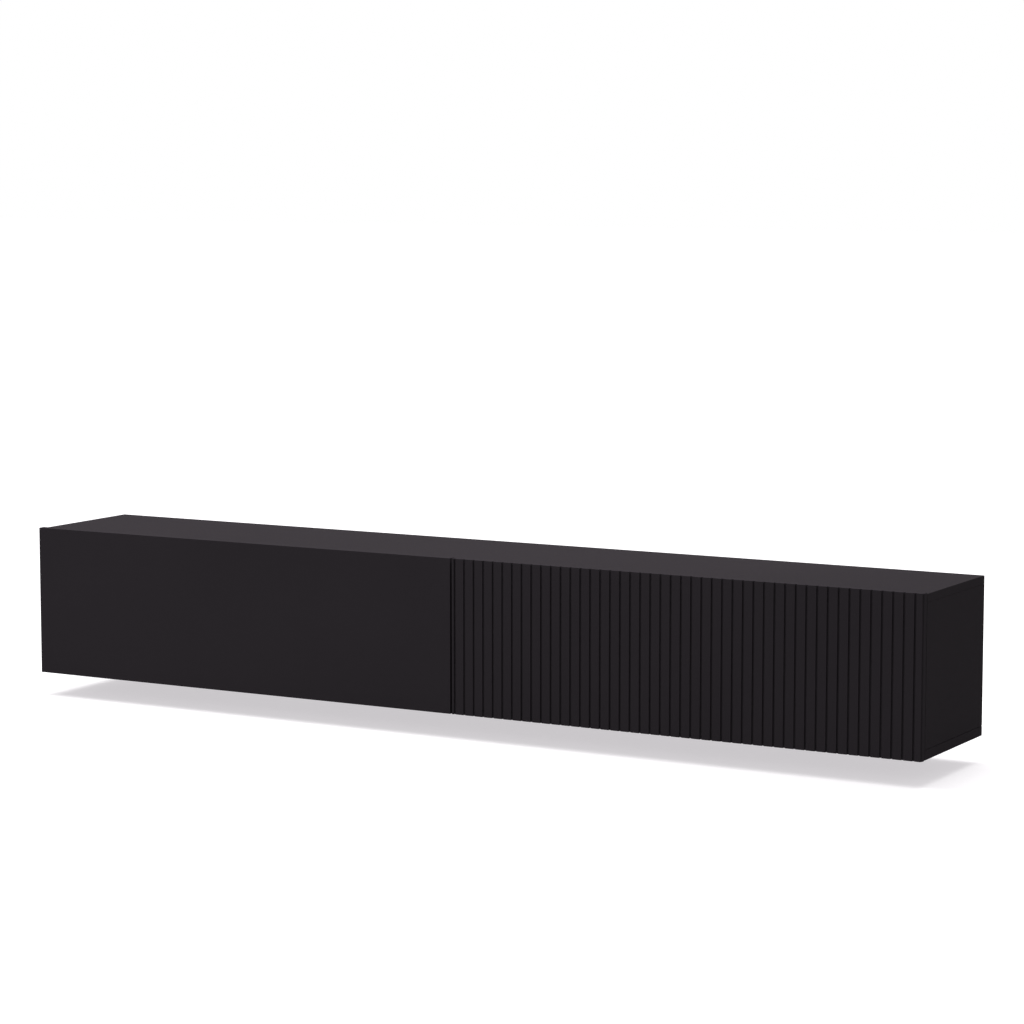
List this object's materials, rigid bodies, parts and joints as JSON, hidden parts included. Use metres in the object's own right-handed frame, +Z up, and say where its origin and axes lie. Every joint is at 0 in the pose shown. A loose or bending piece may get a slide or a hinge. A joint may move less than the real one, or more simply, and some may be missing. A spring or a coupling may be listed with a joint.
{
  "type": "floating media console",
  "caption": "Long low wall-hung media console in matt black, with a smooth and a fluted drop-down flap, damped stays, push latches and rear cable outlets.",
  "frame": {"origin": "middle of the back face of the wall rail, in the plane of the wall", "axes": "+X to the right of someone facing the fronts, +Y into the wall, +Z up"},
  "size_m": [2.4, 0.36, 0.37],
  "materials": {
    "carcass_lacquer": "matt black lacquered board",
    "flap_lacquer": "matt black lacquered board, smooth on one flap and fluted on the other",
    "back_board": "dull black painted fibreboard sheet",
    "rail_aluminium": "mill-finish extrusion",
    "hinge_steel": "nickel-plated pressed steel",
    "stay_steel": "dark nickel-plated flat steel",
    "dark_plastic": "fine-textured moulded plastic",
    "plunger_plastic": "satin grey moulded plastic"
  },
  "bodies": {
    "cabinet": {"top_panel": "carcass_lacquer", "bottom_panel": "carcass_lacquer", "left_side_panel": "carcass_lacquer", "right_side_panel": "carcass_lacquer", "centre_divider": "carcass_lacquer", "hanging_stretcher": "carcass_lacquer", "back_panel_left": "back_board", "back_panel_right": "back_board", "cable_grommet_left": "dark_plastic", "cable_grommet_right": "dark_plastic", "wall_rail": "rail_aluminium", "cabinet_rail": "rail_aluminium", "left_hinge_arm_1": "hinge_steel", "left_hinge_arm_2": "hinge_steel", "left_hinge_arm_3": "hinge_steel", "right_hinge_arm_1": "hinge_steel", "right_hinge_arm_2": "hinge_steel", "right_hinge_arm_3": "hinge_steel", "left_outer_stay_housing": "dark_plastic", "left_inner_stay_housing": "dark_plastic", "right_inner_stay_housing": "dark_plastic", "right_outer_stay_housing": "dark_plastic", "left_latch_housing_1": "dark_plastic", "left_latch_housing_2": "dark_plastic", "right_latch_housing_1": "dark_plastic", "right_latch_housing_2": "dark_plastic"},
    "left_flap": {"smooth_flap": "flap_lacquer", "left_hinge_cup_1": "hinge_steel", "left_hinge_cup_2": "hinge_steel", "left_hinge_cup_3": "hinge_steel", "left_hinge_pin_1": "hinge_steel", "left_hinge_pin_2": "hinge_steel", "left_hinge_pin_3": "hinge_steel", "left_outer_stay_bracket": "stay_steel", "left_inner_stay_bracket": "stay_steel", "left_latch_strike_1": "hinge_steel", "left_latch_strike_2": "hinge_steel"},
    "right_flap": {"fluted_flap": "flap_lacquer", "right_hinge_cup_1": "hinge_steel", "right_hinge_cup_2": "hinge_steel", "right_hinge_cup_3": "hinge_steel", "right_hinge_pin_1": "hinge_steel", "right_hinge_pin_2": "hinge_steel", "right_hinge_pin_3": "hinge_steel", "right_inner_stay_bracket": "stay_steel", "right_outer_stay_bracket": "stay_steel", "right_latch_strike_1": "hinge_steel", "right_latch_strike_2": "hinge_steel"},
    "left_outer_arm": {"left_outer_stay_arm": "stay_steel"},
    "left_inner_arm": {"left_inner_stay_arm": "stay_steel"},
    "right_inner_arm": {"right_inner_stay_arm": "stay_steel"},
    "right_outer_arm": {"right_outer_stay_arm": "stay_steel"},
    "left_outer_link": {"left_outer_stay_link": "stay_steel"},
    "left_inner_link": {"left_inner_stay_link": "stay_steel"},
    "right_inner_link": {"right_inner_stay_link": "stay_steel"},
    "right_outer_link": {"right_outer_stay_link": "stay_steel"},
    "left_plunger_1": {"left_latch_plunger_1": "plunger_plastic"},
    "left_plunger_2": {"left_latch_plunger_2": "plunger_plastic"},
    "right_plunger_1": {"right_latch_plunger_1": "plunger_plastic"},
    "right_plunger_2": {"right_latch_plunger_2": "plunger_plastic"}
  },
  "joints": [
    {"name": "left_flap_hinge", "type": "hinge", "parent": "cabinet", "child": "left_flap", "pos_m": [-0.5955, -0.3505, -0.28067], "axis": [1, 0, 0], "range_deg": [0, 90]},
    {"name": "right_flap_hinge", "type": "hinge", "parent": "cabinet", "child": "right_flap", "pos_m": [0.607, -0.3505, -0.28067], "axis": [1, 0, 0], "range_deg": [0, 90]},
    {"name": "left_outer_arm_pivot", "type": "hinge", "parent": "cabinet", "child": "left_outer_arm", "pos_m": [-1.1649, -0.2755, -0.1032], "axis": [1, 0, 0], "range_deg": [0, 90]},
    {"name": "left_inner_arm_pivot", "type": "hinge", "parent": "cabinet", "child": "left_inner_arm", "pos_m": [-0.0141, -0.2755, -0.1032], "axis": [1, 0, 0], "range_deg": [0, 90]},
    {"name": "right_inner_arm_pivot", "type": "hinge", "parent": "cabinet", "child": "right_inner_arm", "pos_m": [0.0371, -0.2755, -0.1032], "axis": [1, 0, 0], "range_deg": [0, 90]},
    {"name": "right_outer_arm_pivot", "type": "hinge", "parent": "cabinet", "child": "right_outer_arm", "pos_m": [1.1649, -0.2755, -0.1032], "axis": [1, 0, 0], "range_deg": [0, 90]},
    {"name": "left_outer_elbow", "type": "hinge", "parent": "left_outer_arm", "child": "left_outer_link", "pos_m": [-1.1615, -0.252, 0.0218], "axis": [1, 0, 0], "range_deg": [-90, 0]},
    {"name": "left_inner_elbow", "type": "hinge", "parent": "left_inner_arm", "child": "left_inner_link", "pos_m": [-0.0175, -0.252, 0.0218], "axis": [1, 0, 0], "range_deg": [-90, 0]},
    {"name": "right_inner_elbow", "type": "hinge", "parent": "right_inner_arm", "child": "right_inner_link", "pos_m": [0.0405, -0.252, 0.0218], "axis": [1, 0, 0], "range_deg": [-90, 0]},
    {"name": "right_outer_elbow", "type": "hinge", "parent": "right_outer_arm", "child": "right_outer_link", "pos_m": [1.1615, -0.252, 0.0218], "axis": [1, 0, 0], "range_deg": [-90, 0]},
    {"name": "left_plunger_1_slide", "type": "slide", "parent": "cabinet", "child": "left_plunger_1", "axis": [0, -1, 0], "range_m": [0, 0.038]},
    {"name": "left_plunger_2_slide", "type": "slide", "parent": "cabinet", "child": "left_plunger_2", "axis": [0, -1, 0], "range_m": [0, 0.038]},
    {"name": "right_plunger_1_slide", "type": "slide", "parent": "cabinet", "child": "right_plunger_1", "axis": [0, -1, 0], "range_m": [0, 0.038]},
    {"name": "right_plunger_2_slide", "type": "slide", "parent": "cabinet", "child": "right_plunger_2", "axis": [0, -1, 0], "range_m": [0, 0.038]}
  ],
  "couplings": [
    {"joint": "left_outer_arm_pivot", "follows": "left_flap_hinge", "ratio": 1},
    {"joint": "left_inner_arm_pivot", "follows": "left_flap_hinge", "ratio": 1},
    {"joint": "left_outer_elbow", "follows": "left_flap_hinge", "ratio": -1},
    {"joint": "left_inner_elbow", "follows": "left_flap_hinge", "ratio": -1},
    {"joint": "left_plunger_1_slide", "follows": "left_flap_hinge", "m_per_rad": 0.0241},
    {"joint": "left_plunger_2_slide", "follows": "left_flap_hinge", "m_per_rad": 0.0241},
    {"joint": "right_inner_arm_pivot", "follows": "right_flap_hinge", "ratio": 1},
    {"joint": "right_outer_arm_pivot", "follows": "right_flap_hinge", "ratio": 1},
    {"joint": "right_inner_elbow", "follows": "right_flap_hinge", "ratio": -1},
    {"joint": "right_outer_elbow", "follows": "right_flap_hinge", "ratio": -1},
    {"joint": "right_plunger_1_slide", "follows": "right_flap_hinge", "m_per_rad": 0.0241},
    {"joint": "right_plunger_2_slide", "follows": "right_flap_hinge", "m_per_rad": 0.0241}
  ]
}
